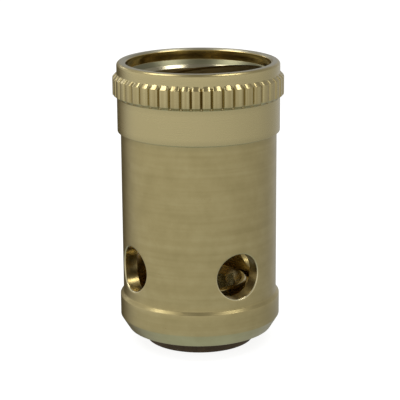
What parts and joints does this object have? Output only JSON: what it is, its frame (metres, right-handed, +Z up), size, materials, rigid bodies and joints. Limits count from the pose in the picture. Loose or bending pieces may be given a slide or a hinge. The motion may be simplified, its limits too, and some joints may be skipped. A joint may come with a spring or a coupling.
{
  "type": "drop-in valve barrel",
  "caption": "Open brass valve barrel with a knurled collar, side ports, a coarse internal stem thread, a screwed-in seat and a soft base washer.",
  "frame": {"origin": "centre of the base washer's underside, which the part stands on", "axes": "+Z up the barrel's axis towards its open threaded top; X and Y run through the four side ports"},
  "size_m": [0.0234, 0.0234, 0.0393],
  "materials": {
    "brass": "satin turned brass",
    "seat_brass": "finely turned brass",
    "gasket_fibre": "matt red-brown fibre",
    "washer_rubber": "matt dark brown"
  },
  "bodies": {
    "barrel": {"barrel": "brass", "base_washer": "washer_rubber"},
    "gasket": {"seat_gasket": "gasket_fibre"},
    "seat": {"valve_seat": "seat_brass"}
  },
  "joints": [
    {"name": "seat_rise", "type": "slide", "parent": "barrel", "child": "gasket", "axis": [0, 0, 1], "range_m": [0, 0.00227]},
    {"name": "seat_turn", "type": "hinge", "parent": "gasket", "child": "seat", "pos_m": [0, 0, 0.0057], "axis": [0, 0, 1], "range_deg": [0, 900]}
  ],
  "couplings": [
    {"joint": "seat_rise", "follows": "seat_turn", "m_per_rad": 0.00014435}
  ]
}
